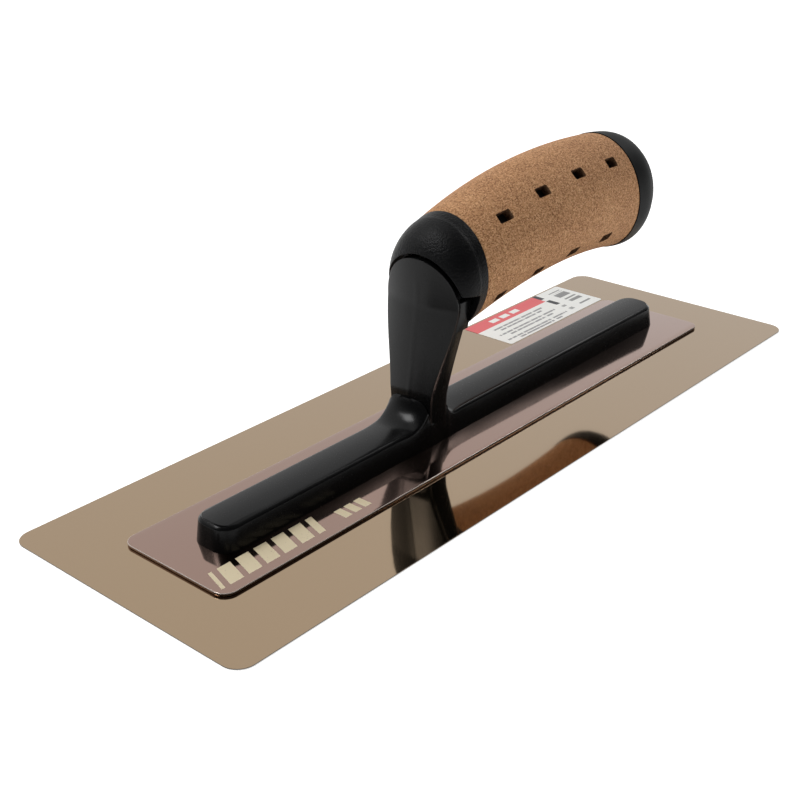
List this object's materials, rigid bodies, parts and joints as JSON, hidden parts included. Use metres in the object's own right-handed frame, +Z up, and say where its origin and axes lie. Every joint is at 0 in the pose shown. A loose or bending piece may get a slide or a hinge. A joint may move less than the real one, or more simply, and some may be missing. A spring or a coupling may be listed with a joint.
{
  "type": "steel finishing trowel",
  "caption": "Flat steel finishing trowel with a thin flexible blade, a stiffening plate, a black beam and post, and a curved cork grip.",
  "frame": {"origin": "centre of the blade's working face", "axes": "+X from the toe to the heel along the blade, +Y across the blade, +Z up from the working face to the grip"},
  "size_m": [0.305, 0.1016, 0.0885],
  "materials": {
    "blade_steel": "polished, gold-bronze tint",
    "plate_steel": "polished, rose-bronze tint",
    "bonding_tape": "clear adhesive film",
    "zinc_steel": "zinc plated",
    "brass": "turned",
    "black_moulding": "satin gloss",
    "black_grip_trim": "fine grain",
    "black_core": "moulded",
    "cork": "agglomerated cork, sanded",
    "label_paper": "printed label, no lettering"
  },
  "bodies": {
    "root": {"blade": "blade_steel", "bond_tape": "bonding_tape", "backing_plate": "plate_steel", "plate_screws": "zinc_steel", "beam_inserts": "brass", "handle_mount": "black_moulding", "front_collar": "black_grip_trim", "grip_core": "black_core", "cork_sleeve": "cork", "tang_insert": "brass", "grip_screw": "zinc_steel", "screw_washer": "zinc_steel", "end_cap": "black_grip_trim", "blade_label": "label_paper"}
  },
  "joints": []
}
